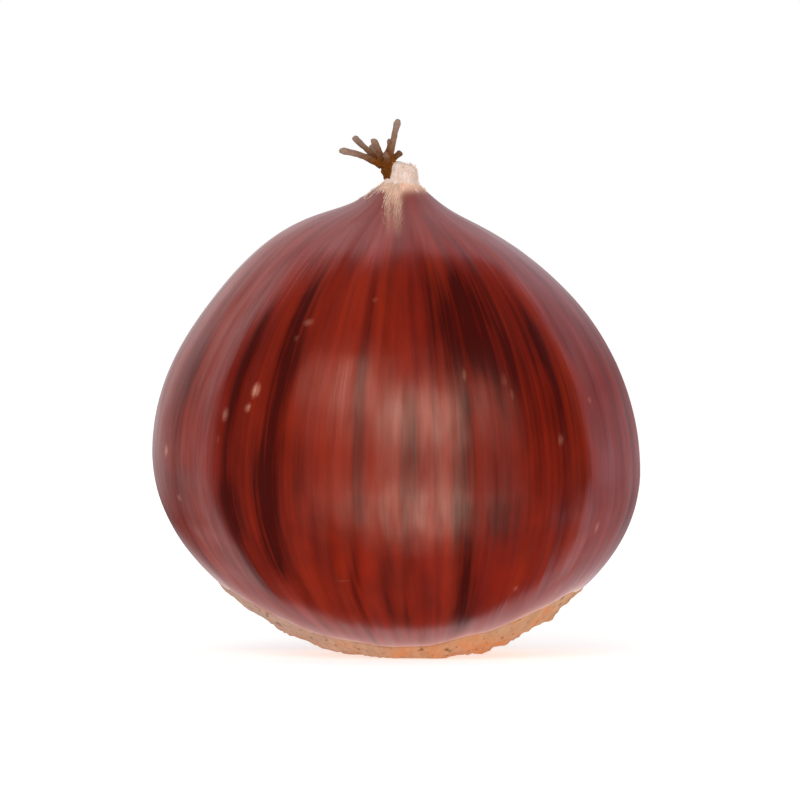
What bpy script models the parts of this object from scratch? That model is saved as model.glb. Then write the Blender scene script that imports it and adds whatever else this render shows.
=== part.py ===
"""A whole sweet chestnut in its shell, standing on its base scar with the hairy tip up.

The frame is in metres, +Z up. The origin is on the surface that the nut stands on, under the
middle of its box. The domed face looks along -Y and the flatter face along +Y.
"""

import math

import bmesh
import bpy
import numpy as np

MM = 0.001

# Driving sizes of the nut
WIDTH = 34.0 * MM
THICKNESS = 24.0 * MM
DOME_HEIGHT = 31.65 * MM  # top of the shell's dome, without the flare that runs up to the tip
STANDING_DIP = 0.35 * MM  # how far the round base would reach below the flat spot it stands on

# The four sides of the nut: how high the widest point is, how pointed the side is below and
# above it (a pinch of 1 is an ellipse), and how far its shoulder by the tip is filled out
SIDES = {
    "right": {"waist": 12.8 * MM, "pinch_below": 1.26, "pinch_above": 1.21, "shoulder": -0.10},
    "left": {"waist": 14.4 * MM, "pinch_below": 1.07, "pinch_above": 1.33, "shoulder": 0.48},
    "front": {"waist": 12.2 * MM, "pinch_below": 0.84, "pinch_above": 1.42, "shoulder": 0.15},
    "back": {"waist": 12.8 * MM, "pinch_below": 0.86, "pinch_above": 1.60, "shoulder": 0.20},
}
FRONT_SHARE = 0.567  # of the thickness, which lies on the domed side of the axis
SQUARE_FRONT = -0.015  # third harmonic of the level sections: below 0 flattens a face
SQUARE_BACK = -0.04

# The axis leans a little: it is here, from the middle of the box, at the base and at the tip
AXIS_X_BASE = 1.4 * MM
AXIS_X_TIP = 0.45 * MM
AXIS_Y = (FRONT_SHARE - 0.5) * THICKNESS
AXIS_Y_TIP = 0.4 * MM

# The shell sweeps up to the neck at the tip
FLARE_HEIGHT = 1.7 * MM
FLARE_RADIUS = 2.35 * MM

# Low ridges that run from base to tip: how many round the nut, how deep, and turned how far
RIDGES = ((7, 0.10 * MM, 20.0), (12, 0.06 * MM, 75.0), (19, 0.035 * MM, 10.0))

# The base scar: its border is low on the two faces and climbs on the flanks
SCAR_FACE_HEIGHT = 0.9 * MM
SCAR_FLANK_CLIMB = 4.0 * MM
SCAR_LEFT_POWER = 3.5
SCAR_RIGHT_POWER = 2.0
SCAR_WOBBLE = 0.22 * MM
SCAR_LIP = 0.16 * MM  # how far the corky scar stands proud of the shell's edge
SCAR_CRAG = 0.30 * MM
SCAR_CRAG_SIZE = 1.5 * MM

# The felted neck at the tip, and the knot of the dried flower on its left shoulder
NECK_FOOT = 1.3 * MM  # how deep it starts in the shell
NECK_RADIUS = 1.12 * MM
NECK_HEIGHT = 0.85 * MM
NECK_SLANT = 0.26
KNOT_RADIUS = 0.52 * MM
KNOT_HEIGHT = 1.75 * MM
KNOT_OFFSET = 1.05 * MM  # to the left of the neck's axis
KNOT_FORWARD = 0.45 * MM  # towards the domed face

# The dried styles: direction round the knot in degrees (0 is right, 90 is back), lean from
# upright at the root and at the end in degrees, and length
STYLES = (
    (-20.0, 4.0, 19.0, 3.20 * MM),
    (32.0, 40.0, 48.0, 1.25 * MM),
    (78.0, 24.0, 44.0, 2.10 * MM),
    (118.0, 45.0, 66.0, 2.30 * MM),
    (165.0, 44.0, 50.0, 2.80 * MM),
    (195.0, 60.0, 84.0, 3.20 * MM),
    (236.0, 30.0, 42.0, 2.15 * MM),
    (272.0, 52.0, 70.0, 1.50 * MM),
)
STYLE_ROOT_RADIUS = 0.27 * MM
STYLE_END_RADIUS = 0.20 * MM
STYLE_RIM = 0.28 * MM  # from the knot's axis to a style's root

# How finely the surfaces are cut into faces
LONGITUDES = 72
SCAR_ROWS = 7
SHELL_ROWS = 28
TUBE_SIDES = 8
SEED = 11


def side_value(name, angle):
    """A size that each of the four sides has, blended smoothly round the nut."""
    cosine = np.cos(angle)
    sine = np.sin(angle)
    return (
        SIDES["right"][name] * np.maximum(cosine, 0.0) ** 2
        + SIDES["left"][name] * np.maximum(-cosine, 0.0) ** 2
        + SIDES["back"][name] * np.maximum(sine, 0.0) ** 2
        + SIDES["front"][name] * np.maximum(-sine, 0.0) ** 2
    )


def lattice_noise(points, cell, seed):
    """Smooth noise from -1 to 1: random values on a cubic lattice, blended between its corners."""
    table = np.random.default_rng(seed).uniform(-1.0, 1.0, 4096)
    scaled = points / cell
    corner = np.floor(scaled).astype(np.int64)
    share = scaled - corner
    share = share * share * (3.0 - 2.0 * share)
    total = np.zeros(points.shape[:-1])
    for step in np.ndindex(2, 2, 2):
        at = corner + np.array(step)
        key = (at[..., 0] * 73 + at[..., 1] * 179 + at[..., 2] * 283) % 4096
        weight = np.prod(np.where(np.array(step) == 1, share, 1.0 - share), axis=-1)
        total += weight * table[key]
    return total


def scar_height(angle):
    """Height of the scar's border: low on the faces, high on the flanks, and uneven."""
    cosine = np.cos(angle)
    power = np.where(cosine > 0.0, SCAR_RIGHT_POWER, SCAR_LEFT_POWER)
    climb = SCAR_FLANK_CLIMB * np.abs(cosine) ** power
    wobble = np.sin(9 * angle + 0.6) + 0.7 * np.sin(16 * angle + 2.1)
    return SCAR_FACE_HEIGHT + climb + SCAR_WOBBLE * wobble * np.abs(cosine)


def latitude_of(height, angle):
    """Latitude at which the lower half of the nut reaches a height, on each side."""
    waist = side_value("waist", angle)
    return np.arcsin((height - waist) / (waist + STANDING_DIP))


def nut_surface(angle, latitude):
    """Points of the smooth nut.

    Below and above the waist the reach is the side's own times cos(latitude) to the power of
    its pinch, and the height runs with sin(latitude). The shoulder adds a share of
    cos(latitude) that comes in late, with sin(latitude) to the power of 6. A level section is
    an ellipse with a third harmonic that squares it off.
    """
    waist = side_value("waist", angle)
    below = latitude < 0.0
    pinch = np.where(below, side_value("pinch_below", angle), side_value("pinch_above", angle))
    rise = np.where(below, waist + STANDING_DIP, DOME_HEIGHT - waist)
    share = np.maximum(np.cos(latitude), 0.0) ** pinch
    late = np.maximum(np.sin(latitude), 0.0) ** 6
    share = share + side_value("shoulder", angle) * late * np.cos(latitude)
    height = waist + rise * np.sin(latitude)

    turn = (1.0 + np.sin(angle)) / 2.0
    reach_y = THICKNESS * (FRONT_SHARE + (1.0 - 2.0 * FRONT_SHARE) * turn)
    square = SQUARE_FRONT + (SQUARE_BACK - SQUARE_FRONT) * turn
    across = (np.cos(angle) + square * np.cos(3 * angle)) / (1.0 + square)
    along = (np.sin(angle) - square * np.sin(3 * angle)) / (1.0 + square)

    ridge = sum(
        depth * np.cos(count * angle + math.radians(turned)) for count, depth, turned in RIDGES
    )
    reach = 1.0 + ridge * np.cos(latitude) ** 2 / (WIDTH / 2)
    from_waist = np.where(below, (waist - height) / waist, (height - waist) / (DOME_HEIGHT - waist))
    axis_x = np.where(below, AXIS_X_BASE, AXIS_X_TIP) * from_waist**2
    axis_y = AXIS_Y + np.where(below, 0.0, AXIS_Y_TIP) * from_waist**2

    x = WIDTH / 2 * share * reach * across
    y = reach_y * share * reach * along
    flare = FLARE_HEIGHT * np.exp(-(x**2 + y**2) / FLARE_RADIUS**2)
    return np.stack([axis_x + x, axis_y + y, height + np.where(below, 0.0, flare)], axis=-1)


def nut_rings():
    """Rings of points from the flat spot up: the scar's rows, then the shell's rows."""
    angle = np.arange(LONGITUDES) * 2 * math.pi / LONGITUDES
    lowest = latitude_of(0.0, angle)
    border = latitude_of(scar_height(angle), angle)
    rings = []
    for row in range(SCAR_ROWS + 1):
        share = row / SCAR_ROWS
        ring = nut_surface(angle, lowest + (border - lowest) * share)
        if 0 < row < SCAR_ROWS:
            outward = ring - ring.mean(axis=0)
            outward[:, 2] = -np.linalg.norm(outward[:, :2], axis=1) * (1.2 - share)
            outward /= np.linalg.norm(outward, axis=1)[:, None]
            crag = lattice_noise(ring, SCAR_CRAG_SIZE, SEED)
            fade = math.sin(math.pi * share) ** 0.5
            ring += outward * ((SCAR_LIP + SCAR_CRAG * crag) * fade)[:, None]
            ring[:, 2] = np.maximum(ring[:, 2], 0.05 * MM)
        rings.append(ring)
    rings[0][:, 2] = 0.0
    for row in range(1, SHELL_ROWS):
        share = row / SHELL_ROWS
        rings.append(nut_surface(angle, border + (math.pi / 2 - border) * share))
    return rings


def material(name, colour, roughness):
    """A plain Principled finish. The colour is linear RGB."""
    made = bpy.data.materials.new(name)
    made.use_nodes = True
    shader = made.node_tree.nodes["Principled BSDF"]
    shader.inputs["Base Color"].default_value = (*colour, 1.0)
    shader.inputs["Roughness"].default_value = roughness
    shader.inputs["Metallic"].default_value = 0.0
    return made


def closed_rings(name, rings, base, top, finish):
    """An object from rings of points, closed by a flat base polygon or point and a top point."""
    mesh = bmesh.new()
    loops = [[mesh.verts.new(point) for point in ring] for ring in rings]
    for lower, upper in zip(loops, loops[1:]):
        for i in range(len(lower)):
            j = (i + 1) % len(lower)
            mesh.faces.new((lower[i], lower[j], upper[j], upper[i]))
    if base is None:
        mesh.faces.new(loops[0][::-1])
    else:
        foot = mesh.verts.new(base)
        for i in range(len(loops[0])):
            mesh.faces.new((foot, loops[0][(i + 1) % len(loops[0])], loops[0][i]))
    peak = mesh.verts.new(top)
    for i in range(len(loops[-1])):
        mesh.faces.new((peak, loops[-1][i], loops[-1][(i + 1) % len(loops[-1])]))
    data = bpy.data.meshes.new(name)
    mesh.to_mesh(data)
    mesh.free()
    data.materials.append(finish)
    made = bpy.data.objects.new(name, data)
    bpy.context.scene.collection.objects.link(made)
    return made


def tube(name, centres, radii, finish, sides=TUBE_SIDES, slant=0.0):
    """A closed tube of changing radius along a path, with both ends drawn to a low point."""
    centres = np.array(centres, float)
    along = np.gradient(centres, axis=0)
    along /= np.linalg.norm(along, axis=1)[:, None]
    first = np.cross(along, (0.0, 1.0, 0.0))
    first /= np.linalg.norm(first, axis=1)[:, None]
    second = np.cross(along, first)
    turn = np.arange(sides) * 2 * math.pi / sides
    rings = []
    for row, radius in enumerate(radii):
        offset = np.cos(turn)[:, None] * first[row] - np.sin(turn)[:, None] * second[row]
        ring = centres[row] + radius * offset
        ring[:, 2] -= slant * (ring[:, 0] - centres[row][0]) * row / (len(radii) - 1)
        rings.append(ring)
    base = centres[0] - along[0] * radii[0] * 0.3
    top = centres[-1] + along[-1] * radii[-1] * 0.5
    if np.dot(np.cross(rings[0][1] - rings[0][0], along[0]), rings[0][0] - centres[0]) < 0:
        rings = [ring[::-1] for ring in rings]
    return closed_rings(name, rings, base, top, finish)


def neck(finish):
    """The short felted neck, which widens into the shell and is cut off at a slant."""
    heights = np.array([0.0, 0.35, 0.65, 1.0, 1.12])
    widths = np.array([1.50, 1.12, 1.00, 0.97, 0.72])
    foot = DOME_HEIGHT + FLARE_HEIGHT - NECK_FOOT
    tall = NECK_FOOT + NECK_HEIGHT
    centres = [(AXIS_X_TIP, AXIS_Y + AXIS_Y_TIP, foot + tall * h * 0.9) for h in heights]
    return tube("neck", centres, NECK_RADIUS * widths, finish, sides=14, slant=NECK_SLANT)


def knot_centre():
    """Middle of the knot, on the neck's left shoulder."""
    return np.array(
        (
            AXIS_X_TIP - KNOT_OFFSET,
            AXIS_Y + AXIS_Y_TIP - KNOT_FORWARD,
            DOME_HEIGHT + FLARE_HEIGHT + NECK_HEIGHT * 0.95,
        )
    )


def knot(finish):
    """The dark dried knot that the styles grow from."""
    middle = knot_centre()
    lift = np.linspace(-0.55, 0.45, 5)
    centres = [middle + np.array((0.18 * MM - 0.35 * MM * s, 0.0, KNOT_HEIGHT * s)) for s in lift]
    return tube("knot", centres, KNOT_RADIUS * np.array([0.75, 0.98, 1.05, 0.95, 0.6]), finish)


def style(number, around, root_lean, end_lean, length, finish):
    """One dried style: an arc that leans further out towards its blunt end."""
    direction = math.radians(around)
    outward = np.array((math.cos(direction), math.sin(direction), 0.0))
    steps = 6
    lean = np.radians(np.linspace(root_lean, end_lean, steps))
    stride = length / (steps - 1)
    moves = stride * (np.sin(lean)[:, None] * outward + np.cos(lean)[:, None] * (0.0, 0.0, 1.0))
    root = knot_centre() + STYLE_RIM * outward
    centres = root + np.vstack([np.zeros(3), np.cumsum(moves[1:], axis=0)])
    radii = np.linspace(STYLE_ROOT_RADIUS, STYLE_END_RADIUS, steps)
    radii[-2] *= 1.12
    return tube(f"style_{number}", centres, radii, finish)


def union(body, others):
    """Joins the others into the body with one Boolean on a collection, and removes them."""
    group = bpy.data.collections.new("joined")
    bpy.context.scene.collection.children.link(group)
    for other in others:
        bpy.context.scene.collection.objects.unlink(other)
        group.objects.link(other)
    joint = body.modifiers.new("join", "BOOLEAN")
    joint.operation = "UNION"
    joint.operand_type = "COLLECTION"
    joint.collection = group
    joint.solver = "EXACT"
    joint.material_mode = "TRANSFER"
    bpy.context.view_layer.update()
    graph = bpy.context.evaluated_depsgraph_get()
    joined = bpy.data.meshes.new_from_object(body.evaluated_get(graph))
    body.modifiers.clear()
    body.data = joined
    for other in others:
        bpy.data.objects.remove(other)
    bpy.data.collections.remove(group)


def main():
    for old in list(bpy.data.objects):
        bpy.data.objects.remove(old)
    shell = material("chestnut_shell", (0.155, 0.022, 0.010), 0.30)
    scar = material("base_scar", (0.62, 0.37, 0.20), 0.85)
    felt = material("neck_felt", (0.72, 0.54, 0.44), 0.95)
    stalk = material("dried_style", (0.20, 0.11, 0.06), 0.80)

    rings = nut_rings()
    summit = (AXIS_X_TIP, AXIS_Y + AXIS_Y_TIP, DOME_HEIGHT + FLARE_HEIGHT)
    nut = closed_rings("chestnut", rings, None, summit, shell)
    nut.data.materials.append(scar)
    for face in nut.data.polygons:
        low = face.index < SCAR_ROWS * LONGITUDES or len(face.vertices) == LONGITUDES
        face.material_index = 1 if low else 0

    growths = [neck(felt), knot(stalk)]
    growths += [style(n, *row, stalk) for n, row in enumerate(STYLES, 1)]
    union(nut, growths)
    nut.data.shade_smooth()
    nut.data.set_sharp_from_angle(angle=math.radians(40))


main()
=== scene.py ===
"""Looks of a whole sweet chestnut, which stands on its base scar with the hairy tip up."""

import math

import bpy
import numpy as np
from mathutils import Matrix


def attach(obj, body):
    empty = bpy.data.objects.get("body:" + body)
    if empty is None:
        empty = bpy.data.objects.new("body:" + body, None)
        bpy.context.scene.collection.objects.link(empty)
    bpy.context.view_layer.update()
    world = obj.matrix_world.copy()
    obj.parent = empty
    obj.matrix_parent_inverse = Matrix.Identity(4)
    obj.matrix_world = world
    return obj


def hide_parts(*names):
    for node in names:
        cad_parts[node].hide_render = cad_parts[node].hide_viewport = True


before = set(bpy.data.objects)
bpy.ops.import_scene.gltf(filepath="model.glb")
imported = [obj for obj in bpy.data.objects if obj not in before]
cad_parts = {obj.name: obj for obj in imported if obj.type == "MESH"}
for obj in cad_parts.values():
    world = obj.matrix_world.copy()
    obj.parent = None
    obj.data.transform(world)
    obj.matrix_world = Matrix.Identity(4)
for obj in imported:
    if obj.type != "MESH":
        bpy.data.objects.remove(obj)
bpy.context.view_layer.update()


# The shell. A chestnut's shell is a thin, hard, leathery fruit wall. It grew as bundles of fibre
# that run from the base to the tip, and they show as fine ribs and as darker streaks under a thin
# natural wax. It is one closed skin, tucked under the corky scar at its foot.
MM = 0.001
NUT_WIDTH = 34.0 * MM
NUT_THICKNESS = 24.0 * MM
DOME_HEIGHT = 31.65 * MM  # without the flare that runs up to the tip
STANDING_DIP = 0.35 * MM  # how far the round base would reach below the spot it stands on
# Each of these is given for the right, left, front and back of the nut
WAIST = (12.8 * MM, 14.4 * MM, 12.2 * MM, 12.8 * MM)
PINCH_BELOW = (1.26, 1.07, 0.84, 0.86)
PINCH_ABOVE = (1.21, 1.33, 1.42, 1.60)
SHOULDER = (-0.10, 0.48, 0.15, 0.20)
FRONT_SHARE = 0.567  # of the thickness, which lies on the domed side of the axis
SQUARE_FRONT = -0.015
SQUARE_BACK = -0.04
AXIS_X_BASE = 1.4 * MM
AXIS_X_TIP = 0.45 * MM
AXIS_Y = (FRONT_SHARE - 0.5) * NUT_THICKNESS
AXIS_Y_TIP = 0.4 * MM
FLARE_HEIGHT = 1.7 * MM
FLARE_RADIUS = 2.35 * MM
# Ribs from base to tip: how many round the nut, how deep, and turned how far
RIBS = ((7, 0.10 * MM, 20.0), (12, 0.06 * MM, 75.0), (19, 0.035 * MM, 10.0))
# Finer ribs along the fibres: how deep and how far apart
FINE_RIBS = ((0.038 * MM, 2.4 * MM), (0.012 * MM, 1.0 * MM))
PIT_DEPTH = 0.010 * MM
PIT_SIZE = 1.4 * MM
DENT_DEPTH = 0.07 * MM
DENT_SIZE = 5.5 * MM
SCAR_FACE_HEIGHT = 0.9 * MM
SCAR_FLANK_CLIMB = 4.3 * MM
SCAR_LEFT_POWER = 3.5
SCAR_RIGHT_POWER = 2.0
SCAR_WOBBLE = 0.22 * MM
SHELL_LONGITUDES = 420
SHELL_ROWS = 200
SHELL_TUCK = 0.35  # how far under the scar the shell's edge runs, as a share of the scar's width
SHELL_TUCK_DEPTH = 0.5 * MM
# Where down dulls the shell, with a painted sheen of pale mauve on it: round the tip it begins at
# one height and is thickest so far above it, and along the scar, where its paleness is also a painted
# reflection of the floor, it and the thin skin reach so far up
TIP_DOWN_AND_SHEEN_BEGINS = 27.6 * MM
TIP_DOWN_AND_SHEEN_RUN = 5.4 * MM
TIP_DOWN_AND_SHEEN_MOST = 0.75
FOOT_DOWN_AND_REFLECTION_REACH = 1.4 * MM
FOOT_THIN_REACH = 0.42 * MM
# The felted tongue as a whole, and its left and right ends: middle and half width across, from the
# tip's axis, and how pale each is
TONGUE_LOBES = (
    (-0.45 * MM, 0.46 * MM, 1.0),
    (-0.85 * MM, 0.20 * MM, 0.55),
    (-0.26 * MM, 0.27 * MM, 1.0),
)
TONGUE_PARTS = 32.3 * MM
TONGUE_PARTING = 0.9 * MM
TONGUE_END = 28.9 * MM
TONGUE_FADE = 3.1 * MM
NECK_FELT_REACH = 1.72 * MM

# The main streaks: degrees round from the middle of the domed face (right is above 0), half
# width in degrees, darkness, the share of the way from base to tip where each begins and ends,
# and by how many degrees it bends aside at the foot
MAIN_STREAKS = (
    (-73.0, 2.0, 0.25, 0.20, 0.80, -3.0),
    (-59.0, 3.6, 0.46, 0.18, 0.74, -4.0),
    (-54.0, 1.2, 0.16, 0.10, 0.88, -4.0),
    (-40.8, 3.2, 0.92, 0.08, 0.84, -2.0),
    (-57.0, 10.0, 0.22, 0.02, 0.90, -4.0),
    (-29.2, 4.0, 0.98, 0.13, 0.90, -8.0),
    (-26.0, 1.5, 0.32, 0.45, 0.84, -6.0),
    (-24.0, 2.2, 0.26, -0.10, 0.40, -8.0),
    (-21.5, 1.4, 0.24, 0.16, 0.66, -6.0),
    (-18.0, 1.3, 0.22, -0.10, 0.95, -7.0),
    (-14.0, 1.0, 0.16, -0.20, 0.90, -7.0),
    (-11.0, 15.0, 0.15, 0.20, 0.62, -4.0),
    (-8.0, 1.5, 0.66, -0.20, 0.92, -8.0),
    (-3.5, 0.8, 0.16, 0.58, 0.92, 0.0),
    (-1.5, 1.6, 0.26, -0.20, 0.32, -5.0),
    (2.8, 1.5, 0.60, 0.02, 0.66, -4.0),
    (4.5, 1.1, 0.26, 0.58, 0.92, 0.0),
    (10.0, 3.6, 0.36, 0.58, 0.95, 0.0),
    (9.8, 1.1, 0.20, 0.00, 0.94, -1.0),
    (16.4, 3.2, 0.92, -0.05, 0.66, 1.0),
    (15.0, 3.4, 0.64, 0.53, 0.84, 0.0),
    (21.0, 6.2, 0.92, 0.58, 0.91, 0.0),
    (25.5, 3.2, 0.52, 0.49, 0.75, 0.0),
    (31.0, 6.0, 0.66, 0.54, 0.94, 0.0),
    (40.0, 6.0, 0.42, 0.44, 0.86, 0.0),
    (24.0, 3.6, 0.30, 0.20, 0.62, 3.0),
    (33.0, 3.2, 0.34, 0.06, 0.64, 4.0),
    (38.0, 14.0, 0.28, 0.26, 0.84, 3.0),
    (41.5, 3.0, 0.42, 0.12, 0.74, 4.0),
    (47.5, 1.8, 0.26, 0.15, 0.74, 4.0),
    (57.0, 3.0, 0.24, 0.10, 0.95, 4.0),
    (66.0, 3.2, 0.32, 0.10, 0.95, 4.0),
)
OTHER_STREAKS = 27  # seeded ones, round the sides and the back
STREAK_SEED = 5
STREAK_BEND = 0.36  # the share of the way up below which streaks bend aside
STREAK_END = 0.12  # the share of the way up over which a streak fades in or out
# Noise that makes streaks waver: by how many degrees, how far drawn out, and its size
STREAK_WAVER = ((0.55, 0.4, 1.3 * MM), (0.715, 0.5, 3.8 * MM))
STREAK_UNEVEN = 0.35
# Scuffs, where slivers of wax and outermost skin have lifted, and at 17, 27 and 28.5 degrees thin
# painted highlight streaks: degrees, then height, half width and half length in mm, and how pale
SCUFFS_AND_GLINTS = (
    (-35.0, 18.7, 0.24, 0.42, 0.90),
    (-36.2, 17.5, 0.18, 0.28, 0.55),
    (-42.6, 17.0, 0.22, 0.46, 0.50),
    (-43.6, 15.4, 0.20, 0.50, 0.20),
    (-25.6, 23.3, 0.36, 0.24, 0.26),
    (-27.5, 22.2, 0.26, 0.26, 0.16),
    (-7.0, 24.9, 0.20, 0.26, 0.20),
    (17.0, 19.7, 0.16, 0.60, 0.24),
    (27.0, 19.5, 0.16, 0.70, 0.32),
    (28.5, 18.4, 0.16, 0.50, 0.26),
    (40.5, 15.3, 0.20, 0.44, 0.60),
    (31.5, 5.1, 0.20, 0.18, 0.45),
    (-14.5, 5.7, 0.50, 0.10, 0.22),
)
OTHER_SCUFFS = 26  # seeded ones, round the sides and the back
SCUFF_LIFT = 0.03 * MM


def turns(count):
    """Angles of a number of points spread evenly round a circle."""
    return np.arange(count) * 2 * math.pi / count


def round_the_nut(sizes, angle):
    """A size given for the right, left, front and back, blended by cos² and sin² of the angle."""
    right, left, front, back = sizes
    cosine, sine = np.cos(angle), np.sin(angle)
    return (
        right * np.maximum(cosine, 0.0) ** 2
        + left * np.maximum(-cosine, 0.0) ** 2
        + front * np.maximum(-sine, 0.0) ** 2
        + back * np.maximum(sine, 0.0) ** 2
    )


def ripple(angle, waves):
    """A sum of cosines round the nut, each with its count, depth and turn in degrees."""
    return sum(depth * np.cos(count * angle + math.radians(turn)) for count, depth, turn in waves)


def nut_surface(angle, latitude):
    """Points of the smooth nut.

    Below and above the waist the reach from the axis is the side's own times cos(latitude) to
    the power of its pinch, and the height runs with sin(latitude). The shoulder adds a share of
    cos(latitude) times sin(latitude) to the power of 6. A level section is an ellipse with a
    third harmonic, and near the tip the height gains a bell curve of the distance to the axis.
    """
    below = latitude < 0.0
    waist = round_the_nut(WAIST, angle)
    pinch = np.where(below, round_the_nut(PINCH_BELOW, angle), round_the_nut(PINCH_ABOVE, angle))
    rise = np.where(below, waist + STANDING_DIP, DOME_HEIGHT - waist)
    share = np.maximum(np.cos(latitude), 0.0) ** pinch
    late = np.maximum(np.sin(latitude), 0.0) ** 6
    share = share + round_the_nut(SHOULDER, angle) * late * np.cos(latitude)
    height = waist + rise * np.sin(latitude)

    turn = (1.0 + np.sin(angle)) / 2.0
    reach_y = NUT_THICKNESS * (FRONT_SHARE + (1.0 - 2.0 * FRONT_SHARE) * turn)
    square = SQUARE_FRONT + (SQUARE_BACK - SQUARE_FRONT) * turn
    across = (np.cos(angle) + square * np.cos(3 * angle)) / (1.0 + square)
    along = (np.sin(angle) - square * np.sin(3 * angle)) / (1.0 + square)
    reach = 1.0 + ripple(angle, RIBS) * np.cos(latitude) ** 2 / (NUT_WIDTH / 2)

    from_waist = np.where(below, (waist - height) / waist, (height - waist) / (DOME_HEIGHT - waist))
    axis_x = np.where(below, AXIS_X_BASE, AXIS_X_TIP) * from_waist**2
    axis_y = AXIS_Y + np.where(below, 0.0, AXIS_Y_TIP) * from_waist**2
    x = NUT_WIDTH / 2 * share * reach * across
    y = reach_y * share * reach * along
    flare = FLARE_HEIGHT * np.exp(-(x**2 + y**2) / FLARE_RADIUS**2)
    return np.stack([axis_x + x, axis_y + y, height + np.where(below, 0.0, flare)], axis=-1)


def unit(vectors):
    """Vectors brought to a length of 1."""
    return vectors / np.maximum(np.linalg.norm(vectors, axis=-1, keepdims=True), 1e-12)


def outward(angle, latitude, step=0.004):
    """Unit normals of the nut: the cross product of its slopes with the angle and the latitude."""
    around = nut_surface(angle + step, latitude) - nut_surface(angle - step, latitude)
    upper = np.minimum(latitude + step, math.pi / 2)
    upward = nut_surface(angle, upper) - nut_surface(angle, latitude - step)
    return unit(np.cross(around, upward))


def lattice_noise(points, cell, seed):
    """Smooth noise from -1 to 1: random values on a cubic lattice, blended between its corners."""
    values = np.random.default_rng(seed).uniform(-1.0, 1.0, 4096)
    scaled = points / cell
    corner = np.floor(scaled).astype(np.int64)
    share = scaled - corner
    share = share * share * (3.0 - 2.0 * share)
    total = np.zeros(points.shape[:-1])
    for step in np.ndindex(2, 2, 2):
        at = corner + np.array(step)
        key = (at[..., 0] * 73 + at[..., 1] * 179 + at[..., 2] * 283) % 4096
        total += np.prod(np.where(np.array(step) == 1, share, 1.0 - share), axis=-1) * values[key]
    return total


def scar_border(angle):
    """Latitude of the scar's border.

    Its height is low on the two faces, climbs on the flanks with a power of the cosine, and
    wobbles a little. The latitude is the arcsine of that height below the waist.
    """
    cosine = np.cos(angle)
    power = np.where(cosine > 0.0, SCAR_RIGHT_POWER, SCAR_LEFT_POWER)
    wobble = np.sin(9 * angle + 0.6) + 0.7 * np.sin(16 * angle + 2.1)
    height = SCAR_FACE_HEIGHT + SCAR_FLANK_CLIMB * np.abs(cosine) ** power
    height = height + SCAR_WOBBLE * wobble * np.abs(cosine)
    waist = round_the_nut(WAIST, angle)
    return np.arcsin((height - waist) / (waist + STANDING_DIP))


def flat_spot(angle):
    """Latitude at which the nut reaches the surface that it stands on."""
    waist = round_the_nut(WAIST, angle)
    return np.arcsin(-waist / (waist + STANDING_DIP))


def meshed(name, points, faces):
    """A smooth-shaded object of points and faces."""
    mesh = bpy.data.meshes.new(name)
    mesh.from_pydata(points.tolist(), [], faces)
    mesh.polygons.foreach_set("use_smooth", np.ones(len(mesh.polygons), bool))
    piece = bpy.data.objects.new(name, mesh)
    bpy.context.scene.collection.objects.link(piece)
    return piece


def closed_piece(name, rings, foot, peak, attributes=()):
    """A closed mesh from rings of points, listed from the foot up, with a point at each end.

    Every ring runs the same way round. Quads join ring to ring, and triangles join the first
    ring to the foot and the last to the peak. An attribute has one value for each ring point,
    and its ends take the mean of the nearest ring.
    """
    rows, columns = rings.shape[:2]
    lower = np.arange(rows - 1)[:, None] * columns
    here = np.arange(columns)
    there = (here + 1) % columns
    corners = (lower + here, lower + there, lower + columns + there, lower + columns + here)
    quads = np.stack(corners, axis=-1).reshape(-1, 4)
    last = (rows - 1) * columns
    foot_down_and_reflection_at, peak_at = rows * columns, rows * columns + 1
    foot_fan = np.stack([np.full(columns, foot_down_and_reflection_at), there, here], axis=-1)
    peak_fan = np.stack([np.full(columns, peak_at), last + here, last + there], axis=-1)
    points = np.vstack([rings.reshape(-1, 3), foot, peak])
    piece = meshed(name, points, quads.tolist() + foot_fan.tolist() + peak_fan.tolist())
    for label, values in dict(attributes).items():
        ends = [values[0].mean(axis=0), values[-1].mean(axis=0)]
        if values.ndim == 3:
            full = np.vstack([values.reshape(-1, 3), *ends])
            layer = piece.data.attributes.new(label, "FLOAT_VECTOR", "POINT")
            layer.data.foreach_set("vector", full.ravel().astype(np.float32))
        else:
            full = np.concatenate([values.ravel(), ends])
            layer = piece.data.attributes.new(label, "FLOAT", "POINT")
            layer.data.foreach_set("value", full.astype(np.float32))
    return piece


def unrolled(angle, latitude):
    """Points of the shell laid out along its fibres: round a straight cylinder, and lengthwise."""
    length = latitude * DOME_HEIGHT / 2
    around = (NUT_WIDTH / 2 * np.cos(angle), NUT_WIDTH / 2 * np.sin(angle))
    return np.stack([*np.broadcast_arrays(*around, length)], axis=-1)


def skin_relief(angle, latitude):
    """How far the skin stands off the smooth nut.

    Dents and pits are noise in space. Fine ribs are layers of noise on the unrolled shell, drawn
    out to nine times their spacing. All fade to the tip with cos(latitude).
    """
    smooth = nut_surface(angle, latitude)
    relief = DENT_DEPTH * lattice_noise(smooth, DENT_SIZE, seed=3)
    relief = relief + PIT_DEPTH * lattice_noise(smooth, PIT_SIZE, seed=7)
    laid = unrolled(angle, latitude) * (1.0, 1.0, 0.11)
    for seed, (depth, spacing) in enumerate(FINE_RIBS, 4):
        relief = relief + depth * lattice_noise(laid, spacing, seed)
    return relief * np.maximum(np.cos(latitude), 0.0)


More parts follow.
